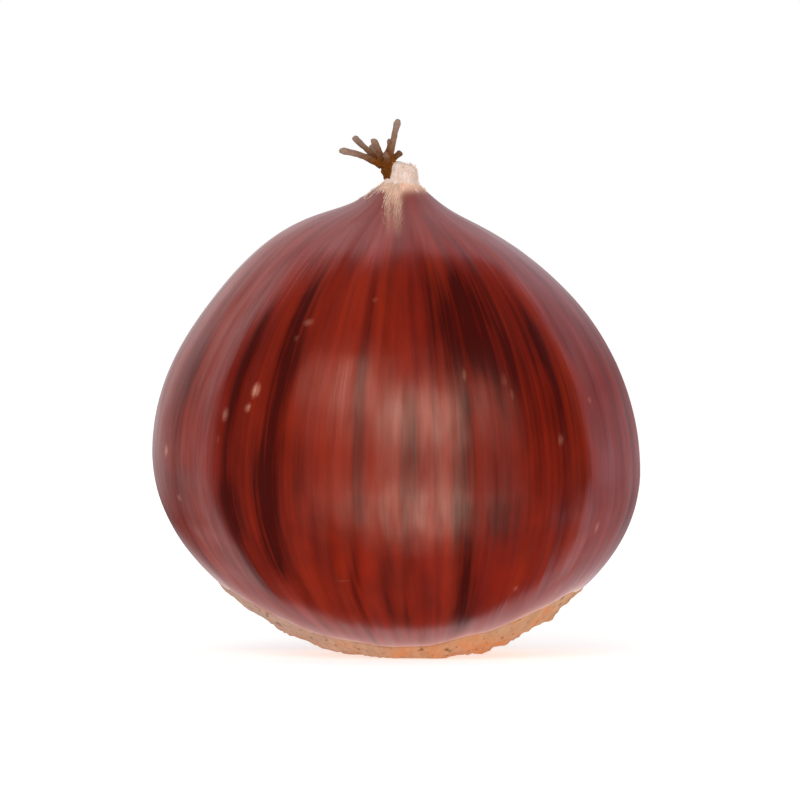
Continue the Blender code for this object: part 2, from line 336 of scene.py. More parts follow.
def streak_darkness(angle, latitude, share):
    """How dark the shell is, from 0 to 1, at an angle and a share of the way from base to tip.

    Each streak is a bell curve across, with soft ends, and it bends aside below a third of the
    way up. Noise along the fibres makes it waver and makes it stronger and weaker along its
    length. Where streaks cross, what each leaves of the light is multiplied.
    """
    draw = np.random.default_rng(STREAK_SEED)
    streaks = list(MAIN_STREAKS)
    for centre in np.linspace(74.0, 286.0, OTHER_STREAKS) + draw.uniform(-3.5, 3.5, OTHER_STREAKS):
        begins, ends = draw.uniform(-0.3, 0.25), draw.uniform(0.7, 1.1)
        streaks.append((centre, draw.uniform(1.2, 4.2), draw.uniform(0.15, 0.85), begins, ends, 0.0))
    low = np.clip((STREAK_BEND - share) / STREAK_BEND, 0.0, 1.0) ** 1.5
    laid = unrolled(angle, latitude)
    waver = sum(
        degrees * lattice_noise(laid * (1.0, 1.0, drawn), size, seed)
        for seed, (degrees, drawn, size) in enumerate(STREAK_WAVER, 15)
    )
    uneven = STREAK_UNEVEN * lattice_noise(laid * (1.0, 1.0, 0.3), 1.1 * MM, seed=17)
    light = np.ones(share.shape)
    for centre, half_width, depth, begins, ends, lean in streaks:
        off = (np.degrees(angle) + 90.0 - centre - lean * low + 180.0) % 360.0 - 180.0
        across = np.exp(-(((off + waver) / half_width) ** 2))
        soft = np.clip((share - begins) / STREAK_END, 0, 1) * np.clip((ends - share) / STREAK_END, 0, 1)
        dark = depth * across * soft * soft * (3 - 2 * soft) * (1.0 + uneven)
        light *= 1.0 - np.clip(dark, 0.0, 1.0)
    return 1.0 - light


def scuffs_and_glints(angle, height, points):
    """Scuffs and painted highlight streaks on the shell, from 0 to 1: a bell curve each, broken up by
    noise.
    """
    draw = np.random.default_rng(21)
    # The least and the most of the five values of a seeded scuff
    low, high = (52.0, 5.0, 0.16, 0.18, 0.15), (300.0, 27.0, 0.26, 0.50, 0.60)
    marks = np.vstack([np.array(SCUFFS_AND_GLINTS), draw.uniform(low, high, (OTHER_SCUFFS, 5))])
    marks = marks * (1.0, MM, MM, MM, 1.0)
    rough = 1.0 + 0.6 * lattice_noise(points, 0.45 * MM, seed=22)
    total = np.zeros(height.shape)
    for centre, up, half_width, half_length, strength in marks:
        off = (np.degrees(angle) + 90.0 - centre + 180.0) % 360.0 - 180.0
        # The nut's reach from its axis at this height, near enough
        reach = NUT_WIDTH / 2 * np.sqrt(max(0.1, 1.0 - (up / DOME_HEIGHT * 2.2 - 0.9) ** 2))
        across = np.radians(off) * reach / half_width
        total += strength * np.exp(-(across**2) - ((height - up) / half_length) ** 2)
    return np.clip(total * rough, 0.0, 1.0)


angle = turns(SHELL_LONGITUDES)
border = scar_border(angle)
tuck = border + (flat_spot(angle) - border) * SHELL_TUCK
shell_latitude = np.vstack(
    [tuck, border + (math.pi / 2 - border) * (np.arange(SHELL_ROWS) / SHELL_ROWS)[:, None]]
)
shell_angle = np.broadcast_to(angle, shell_latitude.shape)
shell_points = nut_surface(shell_angle, shell_latitude)
shell_out = outward(shell_angle, shell_latitude)
scuffed_or_glinting = scuffs_and_glints(shell_angle, shell_points[..., 2], shell_points)
stand_off = skin_relief(shell_angle, shell_latitude) + SCUFF_LIFT * scuffed_or_glinting
shell_points = shell_points + shell_out * stand_off[..., None]
shell_points[0] -= shell_out[0] * SHELL_TUCK_DEPTH

# Down is the bloom of tiny hairs that dulls the shell round the tip and along the scar, where
# the skin also thins out to the colour of the cork. Its pale mauve is partly painted: a painted
# sheen round the tip, and a painted reflection of the floor along the scar
tip_near = np.clip((shell_points[..., 2] - TIP_DOWN_AND_SHEEN_BEGINS) / TIP_DOWN_AND_SHEEN_RUN, 0.0, 1.0)
tip_down_and_sheen = TIP_DOWN_AND_SHEEN_MOST * tip_near**1.3
# Felted is where hairs mat together: round the foot of the neck, and down the domed face in a
# tongue that parts into two. Each lobe is a bell curve across, and fades downwards
from_tip = shell_points - (AXIS_X_TIP, AXIS_Y + AXIS_Y_TIP, 0.0)
parted = np.clip((TONGUE_PARTS - from_tip[..., 2]) / TONGUE_PARTING, 0.0, 1.0)
whole, left, right = (
    pale * np.exp(-(((from_tip[..., 0] - middle) / half_width) ** 2))
    for middle, half_width, pale in TONGUE_LOBES
)
tongue_pale = whole * (1.0 - parted) + (left + right) * parted
tongue_pale *= np.clip((from_tip[..., 2] - TONGUE_END) / TONGUE_FADE, 0.0, 1.0) ** 1.4
tongue_pale *= from_tip[..., 1] < 0
neck_edge = np.exp(-((np.hypot(from_tip[..., 0], from_tip[..., 1]) / NECK_FELT_REACH) ** 8))
felted = np.clip(tongue_pale + neck_edge, 0.0, 1.0)
above_scar = (shell_latitude - scar_border(shell_angle)) * NUT_WIDTH / 2
foot_down_and_reflection = np.exp(-((np.maximum(above_scar, 0.0) / FOOT_DOWN_AND_REFLECTION_REACH) ** 1.5))
foot_thin = np.exp(-((np.maximum(above_scar, 0.0) / FOOT_THIN_REACH) ** 2))
summit = np.array((AXIS_X_TIP, AXIS_Y + AXIS_Y_TIP, DOME_HEIGHT + FLARE_HEIGHT))
shell = closed_piece(
    "shell",
    shell_points,
    shell_points[0].mean(axis=0),
    summit,
    {
        "fibre": unrolled(shell_angle, shell_latitude),
        "darkness": streak_darkness(shell_angle, shell_latitude, shell_points[..., 2] / DOME_HEIGHT),
        "tip_down_and_sheen": tip_down_and_sheen,
        "foot_down_and_reflection": foot_down_and_reflection,
        "foot_thin": foot_thin,
        "felted": felted,
        "scuffed_or_glinting": scuffed_or_glinting,
    },
)


def linear(code):
    """Linear RGBA from an sRGB hex code."""
    parts = (int(code[i : i + 2], 16) / 255 for i in (1, 3, 5))
    return (*(c / 12.92 if c <= 0.04045 else ((c + 0.055) / 1.055) ** 2.4 for c in parts), 1.0)


def feed(node, inputs):
    """Gives a shader node its inputs.

    An input is a value, the hex code of a colour, a socket to link, or a node whose first output
    in use is linked.
    """
    for name, value in dict(inputs).items():
        if isinstance(value, bpy.types.Node):
            value = next(output for output in value.outputs if output.enabled)
        if isinstance(value, bpy.types.NodeSocket):
            node.id_data.links.new(value, node.inputs[name])
        else:
            node.inputs[name].default_value = linear(value) if isinstance(value, str) else value


def add(material, kind, inputs=(), **settings):
    """Adds a shader node of one kind, with settings and inputs, to a material or the world."""
    node = material.node_tree.nodes.new("ShaderNode" + kind)
    for name, value in settings.items():
        setattr(node, name, value)
    feed(node, inputs)
    return node


def new_material(name):
    """A new material, and its Principled shader."""
    material = bpy.data.materials.new(name)
    material.use_nodes = True
    return material, material.node_tree.nodes["Principled BSDF"]


# Waxed fruit wall: smooth, hard and a little uneven, so a window's reflection in it is broad and
# drawn out into streaks along the fibres. Its fibre bundles are 0.3 to 1.5 mm wide.
shell_skin, skin = new_material("waxed_chestnut_shell")
along = add(shell_skin, "Attribute", attribute_name="fibre").outputs["Vector"]
dark_at, tip_down_and_sheen_at, foot_down_and_reflection_at, thin_at, felted_at, scuff_or_glint_at = (
    add(shell_skin, "Attribute", attribute_name=name).outputs["Fac"]
    for name in ("darkness", "tip_down_and_sheen", "foot_down_and_reflection", "foot_thin", "felted", "scuffed_or_glinting")
)
# Noise drawn out along the fibres: how wide and how long its patches are, detail and roughness
FIBRE_NOISE = {
    "bundles": (1.5 * MM, 45 * MM, 2.0, 0.55),
    "threads": (0.38 * MM, 12 * MM, 3.0, 0.6),
    "patches": (2.2 * MM, 5 * MM, 2.0, 0.5),
    "warmth": (10 / 3 * MM, 100 * MM, 2.0, 0.5),
    "wax": (0.95 * MM, 6 * MM, 2.5, 0.6),
}
noise = {}
for name, (wide, long, detail, rough) in FIBRE_NOISE.items():
    drawn_out = add(shell_skin, "Mapping", {"Vector": along, "Scale": (1 / wide, 1 / wide, 1 / long)})
    noise[name] = add(
        shell_skin,
        "TexNoise",
        {"Vector": drawn_out, "Scale": 1.0, "Detail": detail, "Roughness": rough},
    )
# What the noise makes of the skin: which noise, from and to which of its values, and what they give.
# The wax is thicker along some fibre bundles than along others, and where it is thick it mirrors more
SKIN_SHARES = {
    "bundle dark": ("bundles", 0.40, 0.70, 0.0, 0.28),
    "thread dark": ("threads", 0.42, 0.75, 0.0, 0.18),
    "streak dark": ("threads", 0.35, 0.62, 0.70, 1.0),
    "patch dark": ("patches", 0.42, 0.68, 0.0, 0.26),
    "gloss": ("threads", 0.3, 0.7, 0.13, 0.20),
    "mirroring": ("wax", 0.32, 0.68, 0.34, 0.72),
}
skin_share = {}
for name, (source, low, high, at_low, at_high) in SKIN_SHARES.items():
    skin_share[name] = add(
        shell_skin,
        "MapRange",
        {"Value": noise[source], "From Min": low, "From Max": high, "To Min": at_low, "To Max": at_high},
    )
fibres_dark = add(
    shell_skin, "Math", {0: skin_share["bundle dark"], 1: skin_share["thread dark"]}, operation="ADD"
)
streaks_dark = add(
    shell_skin,
    "Math",
    {0: dark_at, 1: skin_share["streak dark"], 2: fibres_dark},
    operation="MULTIPLY_ADD",
    use_clamp=True,
)
mottled = add(
    shell_skin, "Math", {0: streaks_dark, 1: skin_share["patch dark"]}, operation="ADD", use_clamp=True
)
# Scuffs are pale, and so are the painted highlight streaks among them
scuff_or_glint_share = add(shell_skin, "Math", {0: scuff_or_glint_at, 1: noise["threads"]}, operation="MULTIPLY")
scuff_or_glint_pale = add(
    shell_skin, "MapRange", {"Value": scuff_or_glint_share, "From Min": 0.04, "From Max": 0.50, "To Max": 0.66}
)
skin_colour = add(
    shell_skin, "Mix", {"Factor": noise["warmth"], "A": "#84130C", "B": "#9C2D0B"}, data_type="RGBA"
)
# Over the bright skin lie its dark fibres, the down of the tip with its painted sheen and of the
# foot with its painted floor reflection, the thin skin at the scar, the matted hairs, and the
# scuffs with the painted highlight streaks among them
for laid_over, colour in (
    (mottled, "#440B06"),
    (tip_down_and_sheen_at, "#864A44"),
    (foot_down_and_reflection_at, "#A66256"),
    (thin_at, "#C08A70"),
    (felted_at, "#F8C8AA"),
    (scuff_or_glint_pale, "#E09C80"),
):
    skin_colour = add(
        shell_skin, "Mix", {"Factor": laid_over, "A": skin_colour, "B": colour}, data_type="RGBA"
    )
hairy_at = add(shell_skin, "Math", {0: tip_down_and_sheen_at, 1: felted_at}, operation="MAXIMUM")
rough_at = add(shell_skin, "Math", {0: hairy_at, 1: scuff_or_glint_at}, operation="MAXIMUM")
dull = add(shell_skin, "Math", {0: rough_at, 1: 0.3, 2: skin_share["gloss"]}, operation="MULTIPLY_ADD")
# The wax is thin over the dark streaks, and down hides its unevenness round the tip
thin_wax = add(shell_skin, "Math", {0: dark_at, 1: -0.5, 2: 1.0}, operation="MULTIPLY_ADD")
mirrored_share = add(shell_skin, "Math", {0: skin_share["mirroring"], 1: thin_wax}, operation="MULTIPLY")
evened = add(shell_skin, "Mix", {"Factor": tip_down_and_sheen_at, "A": mirrored_share, "B": 0.5})
fibre_relief = add(shell_skin, "Math", {0: noise["threads"], 1: noise["bundles"]}, operation="ADD")
ribbed = add(shell_skin, "Bump", {"Strength": 0.4, "Distance": 0.022 * MM, "Height": fibre_relief})
feed(skin, {"Base Color": skin_colour, "Specular IOR Level": evened, "Roughness": dull})
feed(skin, {"Normal": ribbed, "IOR": 1.47})
shell.data.materials.append(shell_skin)
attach(shell, "root")
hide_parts("chestnut")


# The base scar. It is where the nut sat in its bur: a plate of pale, corky tissue with short
# radial fibres, which broke off unevenly, so its rim is crumbly and stands a little proud.
SCAR_LIP = 0.16 * MM
SCAR_CRAG = 0.30 * MM
SCAR_CRAG_SIZE = 1.5 * MM
SCAR_CRUMB = 0.13 * MM
SCAR_CRUMB_SIZE = 0.5 * MM
SCAR_RAGGED = 0.010  # how far, in radians, the border strays from its line
SCAR_FRAYED = 0.7  # how much more crumb the right flank has than the rest
SCAR_HOLLOW = 0.25 * MM
SCAR_LONGITUDES = 480
SCAR_ROWS = 44
SCAR_FLAT_ROWS = 14
scar_angle = turns(SCAR_LONGITUDES)
scar_low, scar_top = flat_spot(scar_angle), scar_border(scar_angle)
scar_top = scar_top + SCAR_RAGGED * lattice_noise(nut_surface(scar_angle, scar_top), 0.9 * MM, seed=8)
up = np.linspace(0.0, 1.0, SCAR_ROWS)[:, None]
side_latitude = scar_low + (scar_top - scar_low) * up
side_angle = np.broadcast_to(scar_angle, side_latitude.shape)
side = nut_surface(side_angle, side_latitude)
side_out = outward(side_angle, side_latitude)
crag = SCAR_CRAG * lattice_noise(side, SCAR_CRAG_SIZE, seed=11)
crumb = SCAR_CRUMB * lattice_noise(side, SCAR_CRUMB_SIZE, seed=12)
crumb = crumb + 0.5 * SCAR_CRUMB * lattice_noise(side, SCAR_CRUMB_SIZE / 2, seed=13)
loose = 1.0 + SCAR_FRAYED * np.maximum(np.cos(side_angle), 0.0)
lip = (SCAR_LIP + crag + crumb * loose) * np.sin(math.pi * np.clip(up, 0, 1) ** 0.8) ** 0.45
lip = lip - 0.10 * MM * np.clip((up - 0.9) / 0.1, 0.0, 1.0)
side = side + side_out * lip[..., None]
side[..., 2] = np.maximum(side[..., 2], 0.02 * MM)
side[0, :, 2] = 0.0
middle = side[0].mean(axis=0)
inward = np.linspace(0.06, 1.0, SCAR_FLAT_ROWS)[:, None, None]
flat = middle + (side[0] - middle) * inward
hollow = SCAR_HOLLOW * (1.0 - inward[..., 0] ** 2) * (0.6 + 0.4 * lattice_noise(flat, 0.8 * MM, seed=14))
flat[..., 2] = np.maximum(hollow, 0.0) * (inward[..., 0] < 0.999)
inside = side[-1] * (0.8, 0.8, 1.0) + (0.0, 0.0, 0.3 * MM)
scar_rings = np.concatenate([flat[:-1], side, inside[None]])
# The share of the way from the middle to the border, and rays laid out by angle and by that share
rim_share = np.concatenate(
    [
        np.broadcast_to(0.4 * inward[:-1, :, 0], flat[:-1].shape[:2]),
        np.broadcast_to(0.4 + 0.6 * up, side.shape[:2]),
        np.ones((1, SCAR_LONGITUDES)),
    ]
)
round_rays = np.broadcast_to(scar_angle, rim_share.shape)
radial = MM * np.stack([9.0 * np.cos(round_rays), 9.0 * np.sin(round_rays), 12.0 * rim_share], axis=-1)
scar = closed_piece(
    "base_scar",
    scar_rings,
    middle + (0.0, 0.0, 0.2 * MM),
    inside.mean(axis=0),
    {"radial": radial},
)
# Torn cork: matt and fibrous, tan to orange where it broke last, on the right, and weathered to
# a greyer pink on the left, with brown specks where the vessels ended
scar_cork, cork = new_material("torn_scar_cork")
place = add(scar_cork, "TexCoord").outputs["Object"]
rays_at = add(scar_cork, "Attribute", attribute_name="radial").outputs["Vector"]
ray_scale = add(
    scar_cork, "Mapping", {"Vector": rays_at, "Scale": (1 / (0.35 * MM), 1 / (0.35 * MM), 1 / (3 * MM))}
)
rays = add(scar_cork, "TexNoise", {"Vector": ray_scale, "Scale": 1.0, "Detail": 3.0})
blotches = add(scar_cork, "TexNoise", {"Vector": place, "Scale": 1 / (2.2 * MM), "Detail": 3.0})
specks = add(scar_cork, "TexNoise", {"Vector": place, "Scale": 1 / (0.5 * MM), "Detail": 2.0})
side_at = add(scar_cork, "SeparateXYZ", {"Vector": place})
left_share = add(
    scar_cork, "MapRange", {"Value": side_at.outputs["X"], "From Min": 1.0 * MM, "From Max": -9.0 * MM}
)
tan = add(scar_cork, "Mix", {"Factor": rays, "A": "#AC7E5E", "B": "#DCAE8A"}, data_type="RGBA")
weathered = add(scar_cork, "Mix", {"Factor": rays, "A": "#9A7668", "B": "#CCAC9A"}, data_type="RGBA")
body_colour = add(scar_cork, "Mix", {"Factor": left_share, "A": tan, "B": weathered}, data_type="RGBA")
orange = add(scar_cork, "MapRange", {"Value": blotches, "From Min": 0.44, "From Max": 0.67, "To Max": 0.92})
fresh_share = add(scar_cork, "Math", {0: left_share, 1: -0.85, 2: 1.0}, operation="MULTIPLY_ADD")
orange_share = add(scar_cork, "Math", {0: orange, 1: fresh_share}, operation="MULTIPLY")
toasted = add(
    scar_cork, "Mix", {"Factor": orange_share, "A": body_colour, "B": "#D58A56"}, data_type="RGBA"
)
speck_at = add(scar_cork, "MapRange", {"Value": specks, "From Min": 0.60, "From Max": 0.72, "To Max": 0.75})
specked = add(scar_cork, "Mix", {"Factor": speck_at, "A": toasted, "B": "#6B4426"}, data_type="RGBA")
crumble = add(scar_cork, "Bump", {"Strength": 0.8, "Distance": 0.12 * MM, "Height": specks})
feed(cork, {"Base Color": specked, "Normal": crumble, "Roughness": 0.9, "Specular IOR Level": 0.25})
scar.data.materials.append(scar_cork)
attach(scar, "root")
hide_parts("chestnut")


# The neck. The fruit wall narrows to a short stub at the tip, felted all over with cream hairs,
# and cut off at a slant where the flower dried up.
NECK_FOOT = 1.3 * MM
NECK_RADIUS = 1.07 * MM
NECK_HEIGHT = 0.85 * MM
NECK_SLANT = 0.26
NECK_HEIGHTS = (0.0, 0.18, 0.35, 0.50, 0.65, 0.80, 0.92, 1.0, 1.05, 1.07)
NECK_WIDTHS = (1.50, 1.26, 1.10, 1.02, 0.99, 0.98, 0.96, 0.90, 0.66, 0.32)
NECK_SIDES = 72
NECK_ROWS = 46
neck_turn = turns(NECK_SIDES)
levels = np.linspace(0.0, 1.0, NECK_ROWS)
known = np.linspace(0.0, 1.0, len(NECK_HEIGHTS))
neck_up = np.interp(levels, known, NECK_HEIGHTS)[:, None]
neck_out = NECK_RADIUS * np.interp(levels, known, NECK_WIDTHS)[:, None]
neck_out = neck_out * (1.0 + 0.07 * np.cos(3 * neck_turn + 0.8) + 0.04 * np.cos(7 * neck_turn))
neck_rise = summit[2] - NECK_FOOT + (NECK_FOOT + NECK_HEIGHT) * neck_up
neck_points = np.stack(
    [
        AXIS_X_TIP + neck_out * np.cos(neck_turn),
        AXIS_Y + AXIS_Y_TIP + neck_out * np.sin(neck_turn),
        np.broadcast_to(neck_rise, neck_out.shape),
    ],
    axis=-1,
)
neck_points[..., 2] -= NECK_SLANT * (neck_points[..., 0] - AXIS_X_TIP) * levels[:, None]
tufts = lattice_noise(neck_points * (1.0, 1.0, 0.45), 0.34 * MM, seed=31)
sideways = np.stack([np.cos(neck_turn), np.sin(neck_turn), np.zeros(NECK_SIDES)], axis=-1)
neck_points = neck_points + sideways * (0.06 * MM * tufts)[..., None]
neck = closed_piece(
    "felted_neck",
    neck_points,
    neck_points[0].mean(axis=0) - (0.0, 0.0, 0.3 * MM),
    neck_points[-1].mean(axis=0) + (0.0, 0.0, 0.04 * MM),
)
# Felted hair: pale cream and quite matt, a little pinker and browner towards its foot
felt, hairy = new_material("cream_hair_felt")
place = add(felt, "TexCoord").outputs["Object"]
drawn = add(felt, "Mapping", {"Vector": place, "Scale": (1 / (0.16 * MM), 1 / (0.16 * MM), 1 / (0.7 * MM))})
strands = add(felt, "TexNoise", {"Vector": drawn, "Scale": 1.0, "Detail": 3.0})
cream = add(felt, "Mix", {"Factor": strands, "A": "#D2AC9A", "B": "#FBEFE6"}, data_type="RGBA")
height_at = add(felt, "SeparateXYZ", {"Vector": place})
foot_share = add(
    felt,
    "MapRange",
    {"Value": height_at.outputs["Z"], "From Min": 32.4 * MM, "From Max": 31.2 * MM, "To Max": 0.40},
)
footed = add(felt, "Mix", {"Factor": foot_share, "A": cream, "B": "#B07C6C"}, data_type="RGBA")
matted = add(felt, "Bump", {"Strength": 0.8, "Distance": 0.08 * MM, "Height": strands})
feed(hairy, {"Base Color": footed, "Normal": matted, "Roughness": 0.95})
feed(hairy, {"Specular IOR Level": 0.2, "Sheen Weight": 0.3})
neck.data.materials.append(felt)
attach(neck, "root")
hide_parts("chestnut")


# The hairs. Fine cream hairs lie along the shell below the neck, thickest in one tongue down the
# domed face that parts into two at its end, and they mat the neck itself.
HAIR_RADIUS = 0.024 * MM
TONGUE_HAIRS = 280
SHELL_HAIRS = 260
NECK_HAIRS = 620
NECK_HAIR_ROWS = (6, 42)  # of the neck's rows, those that carry hairs
TONGUE_SIDES = (-0.45 * MM, -0.78 * MM, -0.14 * MM)  # whole, left and right, from the tip's axis
TONGUE_SPREAD = (0.23 * MM, 0.09 * MM, 0.09 * MM)
# Latitudes in radians: where hairs begin and how much lower the lowest of them are, below which
# the tongue is in two, and the highest that a hair lying on the shell reaches
TONGUE_TOP, TONGUE_DROP = 1.43, 0.34
TONGUE_SPLITS = 1.30
COAT_TOP, COAT_DROP = 1.50, 0.13
HIGHEST_HAIR = 1.52


def hairs(name, root, tip, sag, radius, sides=3, steps=5):
    """Tapered hairs joined into one mesh.

    A hair runs from its root to its tip in a straight line plus sag times 4s(1 - s), for s from
    0 to 1. Its radius falls to a third, and both ends are closed with a point.
    """
    s = np.linspace(0.0, 1.0, steps)[:, None]
    path = root[:, None] + (tip - root)[:, None] * s + sag[:, None] * 4 * s * (1 - s)
    run = unit(np.gradient(path, axis=1))
    first = unit(np.cross(run, (0.31, 0.27, 0.91)))
    second = np.cross(run, first)
    turn = turns(sides)
    thick = (radius[:, None] * (1 - 0.67 * s[:, 0]))[..., None, None]
    ring = path[:, :, None] + thick * (
        np.cos(turn)[:, None] * first[:, :, None] + np.sin(turn)[:, None] * second[:, :, None]
    )
    count = len(root)
    ends = np.stack([path[:, 0] - run[:, 0] * radius[:, None], path[:, -1]], axis=1)
    ends[:, 1] += run[:, -1] * radius[:, None]
    points = np.concatenate([ring.reshape(count, -1, 3), ends], axis=1)
    here = np.arange(sides)
    there = (here + 1) % sides
    low = np.arange(steps - 1)[:, None] * sides
    walls = np.stack([low + here, low + there, low + sides + there, low + sides + here], axis=-1)
    walls = walls.reshape(-1, 4)
    last, foot, peak = (steps - 1) * sides, steps * sides, steps * sides + 1
    caps = np.vstack(
        [
            np.stack([np.full(sides, foot), there, here], axis=-1),
            np.stack([np.full(sides, peak), last + here, last + there], axis=-1),
        ]
    )
    each = points.shape[1]
    start = np.arange(count)[:, None, None] * each
    faces = (start + walls).reshape(-1, 4).tolist() + (start + caps).reshape(-1, 3).tolist()
    return meshed(name, points.reshape(-1, 3), faces)


def lying_hairs(around, latitude, length, draw):
    """Roots and tips of hairs that lie along the shell, pointing up to the tip, a little splayed."""
    rise = DOME_HEIGHT - round_the_nut(WAIST, around)
    higher = np.minimum(latitude + length / (rise * 0.55), HIGHEST_HAIR)
    splay = around + draw.normal(0.0, 0.05, len(around))
    root = nut_surface(around, latitude) + outward(around, latitude) * (0.01 * MM)
    lift = draw.uniform(0.02, 0.12, len(around))[:, None] * MM
    return root, nut_surface(splay, higher) + outward(splay, higher) * lift


draw = np.random.default_rng(41)
tongue_low = TONGUE_TOP - TONGUE_DROP * draw.uniform(0.0, 1.0, TONGUE_HAIRS) ** 3.3
tongue_reach = NUT_WIDTH / 2 * np.cos(tongue_low) ** PINCH_ABOVE[2]
tongue_end = draw.choice((1, 2, 2), TONGUE_HAIRS) * (tongue_low < TONGUE_SPLITS)
tongue_stray = draw.normal(0.0, 1.0, TONGUE_HAIRS) * np.array(TONGUE_SPREAD)[tongue_end]
tongue_side = np.array(TONGUE_SIDES)[tongue_end] + tongue_stray
tongue_around = tongue_side / tongue_reach - math.pi / 2
tongue = lying_hairs(tongue_around, tongue_low, draw.uniform(0.5, 1.2, TONGUE_HAIRS) * MM, draw)
coat_around = draw.uniform(0.0, 2 * math.pi, SHELL_HAIRS)
coat_low = COAT_TOP - COAT_DROP * draw.uniform(0.0, 1.0, SHELL_HAIRS) ** 1.6
coat = lying_hairs(coat_around, coat_low, draw.uniform(0.15, 0.45, SHELL_HAIRS) * MM, draw)
pick_row = draw.integers(*NECK_HAIR_ROWS, NECK_HAIRS)
pick_side = draw.integers(0, NECK_SIDES, NECK_HAIRS)
neck_root = neck_points[pick_row, pick_side]
leave = sideways[pick_side] * draw.uniform(0.01, 0.07, NECK_HAIRS)[:, None]
leave = leave + np.array((0.0, 0.0, 1.0)) * draw.uniform(-0.25, 0.22, NECK_HAIRS)[:, None]
neck_tip = neck_root + leave * MM + draw.normal(0.0, 0.05, (NECK_HAIRS, 3)) * MM
hair_root = np.vstack([tongue[0], coat[0], neck_root])
hair_tip = np.vstack([tongue[1], coat[1], neck_tip])
hair_sag = draw.normal(0.0, 0.035, hair_root.shape) * MM
hair_thick = HAIR_RADIUS * draw.uniform(0.6, 1.2, len(hair_root))
down = hairs("tip_hairs", hair_root, hair_tip, hair_sag, hair_thick)
# Single plant hairs: pale and silky
hair_silk, silk = new_material("silky_plant_hair")
place = add(hair_silk, "TexCoord").outputs["Object"]
height_at = add(hair_silk, "SeparateXYZ", {"Vector": place})
low_share = add(
    hair_silk, "MapRange", {"Value": height_at.outputs["Z"], "From Min": 32.3 * MM, "From Max": 29.6 * MM}
)
mixed = add(hair_silk, "TexNoise", {"Vector": place, "Scale": 1 / (0.5 * MM)})
light_hair = add(hair_silk, "Mix", {"Factor": mixed, "A": "#FFD4B6", "B": "#FFF0E0"}, data_type="RGBA")
hair_colour = add(
    hair_silk, "Mix", {"Factor": low_share, "A": light_hair, "B": "#C0846E"}, data_type="RGBA"
)
feed(silk, {"Base Color": hair_colour, "Roughness": 0.8, "Specular IOR Level": 0.2})
down.data.materials.append(hair_silk)
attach(down, "root")
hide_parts("chestnut")


# The knot and the styles. What is left of the flower sits on the neck's left shoulder: a dark
# dried knot, and its styles, shrivelled to stiff grey-brown prongs with blunt ends.
KNOT_RADIUS = 0.52 * MM
KNOT_HEIGHT = 1.75 * MM
KNOT_OFFSET = 1.05 * MM
KNOT_FORWARD = 0.45 * MM
KNOT_ROWS = 22
STYLE_ROWS = 28
STALK_SIDES = 24
KNOT_AT = summit + (-KNOT_OFFSET, -KNOT_FORWARD, NECK_HEIGHT * 0.95)
# Direction in degrees (0 is right, 90 is back), lean at the root and at the end, and length
STYLES = (
    (-20.0, 4.0, 19.0, 3.20 * MM),
    (32.0, 40.0, 48.0, 1.25 * MM),
    (78.0, 24.0, 44.0, 2.10 * MM),
    (118.0, 45.0, 66.0, 2.30 * MM),
    (165.0, 44.0, 50.0, 2.80 * MM),
    (195.0, 60.0, 84.0, 3.20 * MM),
    (236.0, 30.0, 42.0, 2.15 * MM),
    (272.0, 52.0, 70.0, 1.50 * MM),
)
# A style's radius at these shares of the way from its root
STYLE_SHARES = (0.0, 0.3, 0.75, 0.92, 1.0)
STYLE_RADII = (0.297 * MM, 0.2295 * MM, 0.20 * MM, 0.24 * MM, 0.16 * MM)
STYLE_GREY_LENGTH = 3.0 * MM  # a style this long or longer is grey at its end
STYLE_RIM = 0.28 * MM


def shrivelled(name, path, radius, lobes, twist, seed, greyed=1.0):
    """A dried stalk: rings carried along a path, closed with a point at each end.

    A ring's radius is the path's times 1 plus lobes that turn by twist along it, plus noise.
    Its reach runs from 0 at the foot to greyed at the end.
    """
    run = unit(np.gradient(path, axis=0))
    first = unit(np.cross(run, (0.0, 1.0, 0.0)))
    second = np.cross(run, first)
    turn = turns(STALK_SIDES)
    s = np.linspace(0.0, 1.0, len(path))[:, None]
    wrinkle = 1.0 + 0.13 * np.cos(lobes * turn + twist * s) + 0.07 * np.cos(2 * turn + 5 * s)
    ring = np.cos(turn)[:, None] * first[:, None] - np.sin(turn)[:, None] * second[:, None]
    points = path[:, None] + ring * (radius[:, None] * wrinkle)[..., None]
    rough = lattice_noise(points, 0.22 * MM, seed)
    points = points + ring * (0.16 * radius[:, None] * rough)[..., None]
    if np.dot(np.cross(ring[0, 0], ring[0, 1]), run[0]) < 0:
        points = points[:, ::-1]
    foot = path[0] - run[0] * radius[0] * 0.3
    return closed_piece(
        name,
        points,
        foot,
        path[-1] + run[-1] * radius[-1] * 0.45,
        {"reach": np.broadcast_to(s * greyed, points.shape[:2])},
    )


